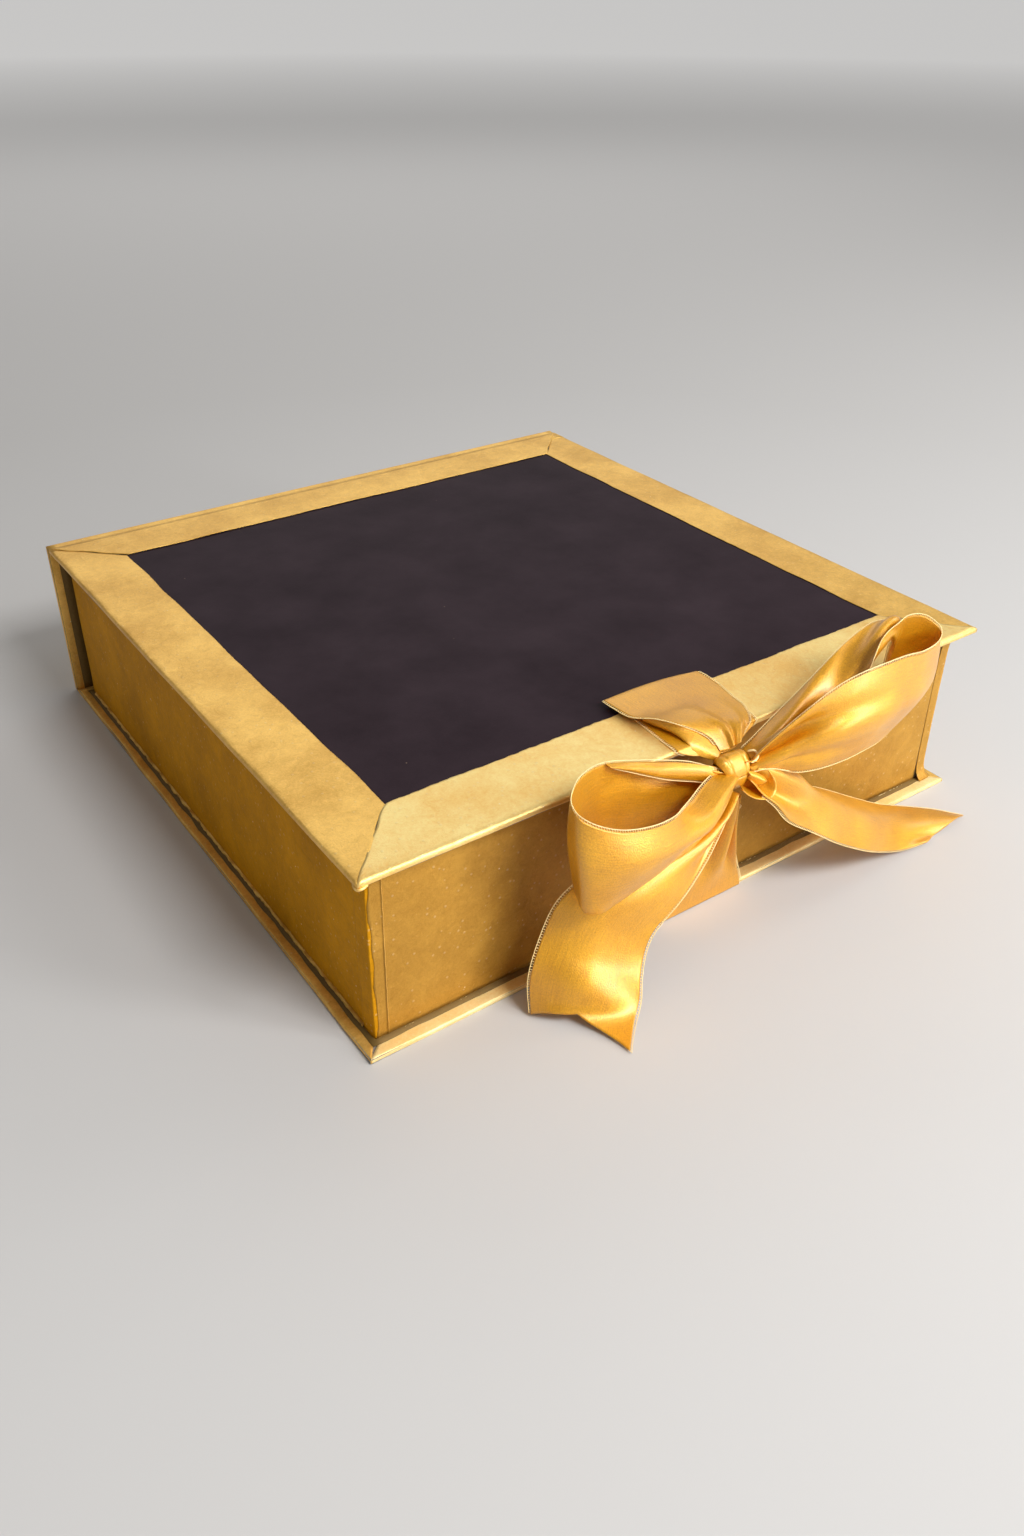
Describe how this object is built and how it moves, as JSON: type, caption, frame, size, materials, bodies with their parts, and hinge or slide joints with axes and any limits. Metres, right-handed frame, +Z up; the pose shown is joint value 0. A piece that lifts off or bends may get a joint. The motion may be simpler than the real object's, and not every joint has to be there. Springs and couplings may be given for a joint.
{
  "type": "hinged gift box",
  "caption": "Shallow square book-style gift box in gold paper with a dark inset lid panel, hinged along its back and closed by satin ribbons tied in a bow at the front.",
  "frame": {"origin": "on the table, at the centre of the base's underside", "axes": "+X to the right along the front, +Y towards the hinged back, +Z up"},
  "size_m": [0.26, 0.3075, 0.0942],
  "materials": {
    "greyboard": "grey bookbinder's board",
    "gold_paper": "metallic gold covering paper, fine leathery grain, satin sheen",
    "plum_paper": "dark plum-charcoal paper, matt with a faint mottle",
    "lining_paper": "dark olive-gold lining paper, matt",
    "satin_ribbon": "double-faced gold satin with a picot selvage"
  },
  "bodies": {
    "box": {"base_board": "greyboard", "tray_floor": "greyboard", "tray_wall_front": "greyboard", "tray_wall_back": "greyboard", "tray_wall_left": "greyboard", "tray_wall_right": "greyboard", "base_cover": "gold_paper", "hinge_cloth_lower": "gold_paper", "tray_cover_front": "gold_paper", "tray_cover_back": "gold_paper", "tray_cover_left": "gold_paper", "tray_cover_right": "gold_paper", "base_liner": "lining_paper", "tray_floor_lining": "lining_paper", "tray_wall_lining": "lining_paper", "ribbon_lower": "satin_ribbon", "bow_knot": "satin_ribbon", "bow_loop_left": "satin_ribbon", "bow_loop_right": "satin_ribbon", "bow_tail_left": "satin_ribbon", "bow_tail_right": "satin_ribbon"},
    "spine": {"spine_board": "greyboard", "spine_cover": "gold_paper", "spine_liner": "lining_paper"},
    "lid": {"lid_board": "greyboard", "lid_panel_paper": "plum_paper", "lid_liner": "lining_paper", "hinge_cloth_upper": "gold_paper", "lid_border_front": "gold_paper", "lid_border_back": "gold_paper", "lid_border_left": "gold_paper", "lid_border_right": "gold_paper", "ribbon_upper": "satin_ribbon"}
  },
  "joints": [
    {"name": "spine_hinge", "type": "hinge", "parent": "box", "child": "spine", "pos_m": [0, 0.136, 0], "axis": [-1, 0, 0], "range_deg": [0, 90]},
    {"name": "lid_hinge", "type": "hinge", "parent": "spine", "child": "lid", "pos_m": [0, 0.136, 0.0693], "axis": [-1, 0, 0], "range_deg": [0, 88]}
  ]
}
